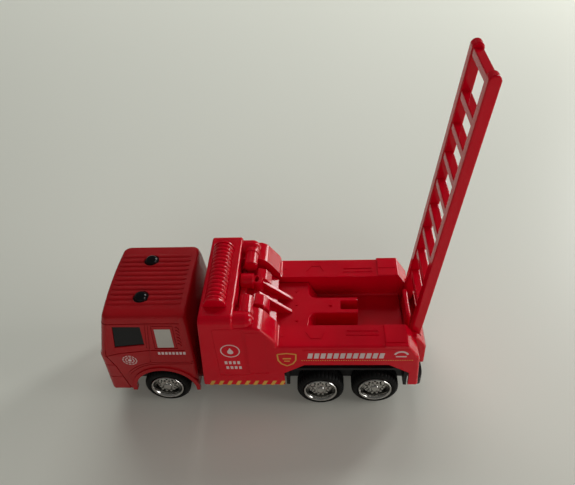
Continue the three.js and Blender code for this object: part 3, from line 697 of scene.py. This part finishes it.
def equipment_deck():
    half = DECK["half"]
    step = bevelled(side_prism([
        (BAY["start"], DECK["seat"]), (BAY["start"], BAY["floor"]), (BAY["slope"], BAY["floor"]),
        (BAY["end"], BAY["low"]), (BAY["end"], DECK["seat"]),
    ], -half, half), 0.4, 3)
    nozzle = bevelled(rod("x", NOZZLE["radius"], NOZZLE["end"] - BAY["start"],
                          (at((BAY["start"] + NOZZLE["end"]) / 2), NOZZLE["y"], NOZZLE["z"])), 0.3, 3, 60)
    boss = rod("z", EYE["radius"], 8, (at(EYE["station"]), EYE["y"], EYE["top"] - 4))
    boss = bevelled(boss, 0.3, 3, 60)
    header = bevelled(box(BAY["start"], 57.8, -11.5, 11.5, BAY["floor"] - 1, 44.5), 0.45, 3)
    knob = ball(0.9, (at(64.9), BLOCKS["outer"], 44))
    deck = join(bevelled(platform(), 0.3, 3, 40), step)
    rooms = [
        box(BAY["start"] + 1.5, BAY["end"] - 1.5, 1.5 - half, half - 1.5, 20, BAY["low"] - 1.5),
        box(BAY["end"] - 2, DECK["edge"] - 3, 1.5 - half, half - 1.5, 20, DECK["z"] - 1.5),
    ]
    slot = bevelled(box(95.3, 110, -2.4, 2.4, 20, 60), 0.5, 3)
    deck = cut(deck, *rooms, slot)
    studs = [rod("z", 0.7, 1.2, (at(91.4), 0, DECK["z"]), 24)]
    studs += [rod("z", 0.5, 1, (at(s), y, DECK["z"]), 20) for s, y in DECK_STUDS]
    deck = join(deck, bracket(1), bracket(-1), nozzle, boss, header,
                bay_block(1), bay_block(-1), knob, *studs)
    deck = cut(deck, oval_eye())
    return finished(deck, "equipment_deck_moulding", "vehicle", "red", ["equipment_deck"])


# ---------------------------------------------------------------- ladder

LADDER = {
    "lean": math.radians(6.3), "length": 111.9, "half": 13, "rail": 3.9, "depth": 1.95, "first": 15.7,
    "pitch": 11.3, "rungs": 8, "rung_height": 2.7, "rung_depth": 3.2, "top_bar": 108.9, "stub": 1.5,
}


def ladder():
    """Built upright about the pivot, then leaned back."""
    half, depth, length = LADDER["half"], LADDER["depth"], LADDER["length"]
    rail = arc((0, 0), depth, 180, 360, 20) + arc((0, length - depth), depth, 0, 180, 20)
    pieces = []
    for low, high in ((half - LADDER["rail"], half), (-half, LADDER["rail"] - half)):
        beam = skin("rail", [[(x, y, z) for x, z in rail] for y in (low, high)])
        pieces.append(bevelled(beam, 0.55, 4))
    inner = half - LADDER["rail"] / 2
    heights = [LADDER["first"] + i * LADDER["pitch"] for i in range(LADDER["rungs"])]
    heights.append(LADDER["top_bar"])
    for z in heights:
        deep, tall = LADDER["rung_depth"] / 2, LADDER["rung_height"] / 2
        section = [(-deep, z - tall), (deep, z - tall), (deep, z + tall), (-deep, z + tall)]
        rung = skin("rung", [[(x, y, h) for x, h in section] for y in (-inner, inner)])
        pieces.append(bevelled(rung, 0.4, 3))
    for side in (1, -1):
        pieces.append(rod("y", LADDER["stub"], 3.4, (0, side * (half + 0.7), 0)))
        pieces.append(rod("y", 1.1, 1, (0, side * (half + 2.0), 0)))
    frame_piece = join(*pieces)
    lean = Matrix.Translation(PIVOT) @ Matrix.Rotation(-LADDER["lean"], 4, "Y")
    frame_piece.data.transform(lean)
    return finished(frame_piece, "ladder_moulding", "ladder_frame", "red", ["ladder"])


# ---------------------------------------------------------------- wheels

TYRE = {"outer": 9.5, "bore": 7.1, "width": 7.2, "inset": 0.5, "lugs": 36, "lug_depth": 0.32}
BOLTS = {"count": 10, "circle": 3.0, "radius": 0.5, "hole_circle": 3.75, "hole": 0.44}


def hub_disc(centre, side):
    """A dished hub with a ring of six-sided bolts and a ring of holes between them."""
    profile = [
        (0.01, -0.55), (1.3, -0.6), (1.65, -1.0), (1.75, -1.35), (3.9, -1.55), (4.3, -1.8),
        (4.4, -3.7), (5.25, -3.8), (5.6, -1.4), (5.9, -0.35), (6.2, -0.05), (6.55, 0),
        (6.75, -0.25), (6.8, -0.7), (6.8, -6.8), (5.6, -6.8), (5.2, -4.2), (2.4, -4.2),
        (2.4, -7.4), (1.3, -7.4), (1.3, -3.4), (0.01, -3.4),
    ]
    disc = skin("hub", turned(profile, "y", centre, 72, side))
    bumps, holes = [], []
    for bolt in range(BOLTS["count"]):
        angle = 2 * math.pi * bolt / BOLTS["count"]
        x, z = BOLTS["circle"] * math.cos(angle), BOLTS["circle"] * math.sin(angle)
        bumps.append(rod("y", BOLTS["radius"], 1.1, centre + Vector((x, -side * 1.3, z)), 6))
        angle = 2 * math.pi * (bolt + 0.5) / BOLTS["count"]
        x, z = BOLTS["hole_circle"] * math.cos(angle), BOLTS["hole_circle"] * math.sin(angle)
        holes.append(rod("y", BOLTS["hole"], 1.8, centre + Vector((x, -side * 1.7, z)), 12))
    return join(cut(disc, *holes), *bumps)


def tread(centre, side):
    """A tyre with two grooves round it, notched across its shoulders between the lugs."""
    outer, bore, steps = TYRE["outer"], TYRE["bore"], TYRE["lugs"] * 4
    inner, face = -TYRE["inset"] - TYRE["width"], -TYRE["inset"]
    # Each point: radius, distance along the axle, and 1 where the notches reach it.
    section = [
        (bore, face, 0), (7.5, face, 0), (8.0, face + 0.12, 0), (8.6, face - 0.1, 0),
        (9.0, face - 0.5, 1), (9.38, face - 1.0, 1), (outer, face - 1.7, 1), (outer, face - 2.9, 1),
        (9.28, face - 3.0, 0), (9.28, face - 3.3, 0), (outer, face - 3.4, 0),
        (outer, inner + 3.4, 0), (9.28, inner + 3.3, 0), (9.28, inner + 3.0, 0),
        (outer, inner + 2.9, 1), (outer, inner + 1.7, 1), (9.38, inner + 1.0, 1),
        (9.0, inner + 0.5, 1), (8.4, inner, 0), (bore, inner, 0),
    ]
    loops = []
    for step in range(steps):
        angle = 2 * math.pi * step / steps
        notch = TYRE["lug_depth"] if step % 4 == 0 else 0
        loop = []
        for radius, along, notched in section:
            r = radius - notch * notched
            loop.append(tuple(centre + Vector((r * math.cos(angle), side * along, r * math.sin(angle)))))
        loops.append(loop)
    return skin("tyre", loops, closed=True)


def wheel(axle, side_name, track):
    side = SIDES[side_name]
    centre = Vector(JOINTS[f"{axle}_axle_spin"]) + Vector((0, side * track, 0))
    body = f"{axle}_wheelset"
    finished(hub_disc(centre, side), f"{axle}_wheel_{side_name}", body, "plated",
             [f"{axle}_hub_{side_name}"], sharp=40)
    finished(tread(centre, side), f"{axle}_tyre_tread_{side_name}", body, "rubber",
             [f"{axle}_tyre_{side_name}"], sharp=28)


def wheels():
    for axle in ("front", "middle", "rear"):
        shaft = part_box(f"{axle}_axle")
        for side_name, side in SIDES.items():
            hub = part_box(f"{axle}_hub_{side_name}")
            track = max(abs(hub[0].y), abs(hub[1].y)) / MM
            wheel(axle, side_name, track)
        length = (shaft[1].y - shaft[0].y) / MM
        pin = bevelled(rod("y", 1, length, JOINTS[f"{axle}_axle_spin"]), 0.15, 2)
        finished(pin, f"{axle}_axle_pin", f"{axle}_wheelset", "steel", [f"{axle}_axle"])


# ---------------------------------------------------------------- underside

def base_plate():
    """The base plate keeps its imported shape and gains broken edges."""
    node = frame["nodes"]["chassis_base"]
    node.data.materials.clear()
    node.data.materials.append(MATERIALS["black"])
    bevel = node.modifiers.new("broken edges", "BEVEL")
    bevel.width = 0.2 * MM
    bevel.segments = 2
    bevel.limit_method = "ANGLE"
    bevel.angle_limit = math.radians(40)


def screws():
    for name in ("front", "middle", "rear"):
        low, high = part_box(f"{name}_screw")
        x, y = (low.x + high.x) / 2 / MM, (low.y + high.y) / 2 / MM
        bottom, top = low.z / MM, high.z / MM
        profile = [
            (0.01, 0), (1.5, 0.02), (1.95, 0.3), (2.1, 0.7), (2.1, 1.2), (1.1, 1.25),
            (1.1, top - bottom), (0.01, top - bottom),
        ]
        head = skin("screw", turned(profile, "z", (x, y, bottom), 40))
        station = STATION_ZERO - x
        slots = [box(station - 1.1, station + 1.1, -0.22, 0.22, bottom - 1, bottom + 0.7),
                 box(station - 0.22, station + 0.22, -1.1, 1.1, bottom - 1, bottom + 0.7)]
        finished(cut(head, *slots), f"{name}_cross_screw", "vehicle", "steel", [f"{name}_screw"])


# ---------------------------------------------------------------- printed marks

PRINT = 0.05  # how far the print stands out of the surface, and reaches into it


def printed(name, shapes, half_at, side, material):
    """Outlines of (station, z) points as thin closed layers of print on one side of the vehicle."""
    verts, faces = [], []
    for outline in shapes:
        count, start = len(outline), len(verts)
        for height in (-PRINT, PRINT):
            verts += [(at(s), side * (half_at(z) + height), z) for s, z in outline]
        faces.append(tuple(range(start, start + count)))
        faces.append(tuple(range(start + count, start + 2 * count)))
        for i in range(count):
            j = (i + 1) % count
            faces.append((start + i, start + j, start + count + j, start + count + i))
    return finished(solid(name, verts, faces), name, "vehicle", material)


def bars(start, end, z_low, z_high, count, fill=0.62, slant=0.0):
    """A row of equal slanted blocks."""
    pitch = (end - start) / count
    row = []
    for i in range(count):
        s = start + i * pitch
        end_s = s + fill * pitch
        row.append([(s, z_low), (end_s, z_low), (end_s - slant, z_high), (s - slant, z_high)])
    return row


def ring_segments(centre, radius, width, count, gap=0.0):
    """A ring in equal arcs."""
    sweep = 360 / count
    return [stroke(arc(centre, radius, i * sweep + gap, (i + 1) * sweep, 6), width) for i in range(count)]


def droplet(centre, size):
    s, z = centre
    return [(s + size * u, z + size * v) for u, v in arc((0, -0.3), 0.62, -212, 32, 18)] + [(s, z + size)]


def body_marks(name, side):
    """A ring with a droplet, a small arc, a shield outline and rows of bars on the body's side."""
    def flat(_):
        return HALF
    white = ring_segments((52.5, 35), 3.6, 0.4, 4, 0.01) + [droplet((52.5, 34.9), 1.9)]
    white += bars(49.6, 56.2, 26.9, 28.7, 4) + bars(49.9, 56.6, 23.8, 25.5, 4)
    white += bars(81.9, 111.6, 30.3, 33.4, 12, 0.72, -0.5)
    white += [stroke(arc((117.6, 31.6), 2.6, 20, 160, 12), 0.8)]
    white += [stroke([(115.6, 31.3), (119.6, 31.3)], 0.6)]
    printed(f"white_marks_{name}", white, flat, side, "print_white")
    shield = [(70.4, 32.8), (74, 33.4), (77.6, 32.8), (77.4, 29.2),
              (76.2, 27), (74, 25.7), (71.8, 27), (70.6, 29.2)]
    gold = [stroke([shield[i], shield[(i + 1) % len(shield)]], 0.5) for i in range(len(shield))]
    gold += [stroke([(72.4, 30.2), (75.6, 30.2)], 0.6), stroke([(72.9, 28.7), (75.1, 28.7)], 0.5)]
    gold += bars(79.6, 122.6, 28.85, 29.2, 48, 0.5)
    gold += bars(41.6, 73.6, 12.95, 15.8, 9, 0.42, -1.3)
    printed(f"gold_marks_{name}", gold, flat, side, "print_gold")


def cab_marks(name, side):
    """A silver pane behind the door, a row of bars, and two rings of dashes round a dot."""
    pane = [(24.0, 44.1), (30.2, 44.1), (30.7, 35.5), (24.3, 35.4)]
    printed(f"silver_pane_{name}", [pane], cab_half, side, "print_silver")
    white = bars(23.9, 35.2, 31.95, 33.2, 8, 0.66)
    white += ring_segments((11.8, 28.4), 2.7, 0.4, 12, 9)
    white += ring_segments((11.8, 28.4), 1.65, 0.45, 8, 14) + [arc((11.8, 28.4), 0.75, 0, 330, 11)]
    printed(f"white_badge_{name}", white, cab_half, side, "print_white")


# ---------------------------------------------------------------- stage

def floor():
    size = 3.0
    corners = [(-size, -size, 0), (size, -size, 0), (size, size, 0), (-size, size, 0)]
    mesh = bpy.data.meshes.new("floor")
    mesh.from_pydata(corners, [], [(0, 1, 2, 3)])
    obj = bpy.data.objects.new("floor", mesh)
    bpy.context.scene.collection.objects.link(obj)
    material = bpy.data.materials.new("pale_floor")
    material.use_nodes = True
    shader = material.node_tree.nodes["Principled BSDF"]
    socket(shader, "Base Color", (0.78, 0.775, 0.71, 1))
    socket(shader, "Roughness", 0.42)
    mesh.materials.append(material)


def area_light(name, location, aim, size, power, colour, mirrored=True):
    data = bpy.data.lights.new(name, "AREA")
    data.shape = "RECTANGLE"
    data.size, data.size_y = size
    data.energy = power
    data.color = colour
    light = bpy.data.objects.new(name, data)
    light.location = location
    light.rotation_euler = (Vector(aim) - Vector(location)).to_track_quat("-Z", "Y").to_euler()
    light.visible_glossy = mirrored
    bpy.context.scene.collection.objects.link(light)


def surroundings():
    """A dim room, a bright window side behind the toy and two fill lights kept out of reflections."""
    world = bpy.data.worlds.new("room")
    bpy.context.scene.world = world
    world.use_nodes = True
    nodes, links = world.node_tree.nodes, world.node_tree.links
    background = nodes["Background"]
    place = nodes.new("ShaderNodeTexCoord")
    split = nodes.new("ShaderNodeSeparateXYZ")
    ramp = nodes.new("ShaderNodeValToRGB")
    remap = nodes.new("ShaderNodeMapRange")
    socket(remap, "From Min", -1.0)
    socket(remap, "From Max", 1.0)
    links.new(place.outputs["Generated"], split.inputs["Vector"])
    links.new(split.outputs["Y"], remap.inputs["Value"])
    links.new(remap.outputs["Result"], ramp.inputs["Fac"])
    links.new(ramp.outputs["Color"], background.inputs["Color"])
    ramp.color_ramp.elements[0].color = (0.55, 0.58, 0.55, 1)
    ramp.color_ramp.elements[1].color = (0.95, 0.92, 0.86, 1)
    socket(background, "Strength", 0.12)
    toy = (0, 0, 0.03)
    area_light("window", (-0.58, -0.60, 0.31), toy, (0.16, 0.42), 2.7, (0.97, 1.0, 0.97))
    area_light("rear", (-0.9, 0.05, 0.24), toy, (0.5, 0.4), 3.4, (1.0, 0.98, 0.95))
    area_light("back", (0.15, -0.95, 0.75), (0.1, -0.5, 0), (1.0, 0.7), 6.6, (0.97, 1.0, 0.96),
               mirrored=False)
    area_light("room", (0.1, 1.1, 0.45), toy, (0.9, 0.6), 3.4, (1.0, 0.97, 0.92), mirrored=False)


def camera():
    """The photo's viewpoint: lens in millimetres, place in metres, turn in degrees."""
    data = bpy.data.cameras.new("camera")
    data.lens = 36.738
    data.sensor_width = 36
    data.clip_start = 0.01
    obj = bpy.data.objects.new("camera", data)
    obj.location = (at(88.5295) * MM, 0.16322, 0.21347)
    obj.rotation_euler = [math.radians(angle) for angle in (48.42805, 2.91010, -177.96420)]
    bpy.context.scene.collection.objects.link(obj)
    bpy.context.scene.camera = obj


camera()
surroundings()
floor()
bpy.context.scene.view_settings.view_transform = "Standard"

cab_body()
cab_windows()
body_moulding()
hose_roll()
equipment_deck()
ladder()
wheels()
base_plate()
screws()
for side_name, side_sign in SIDES.items():
    beacon(side_name, side_sign)
    body_marks(side_name, side_sign)
    cab_marks(side_name, side_sign)
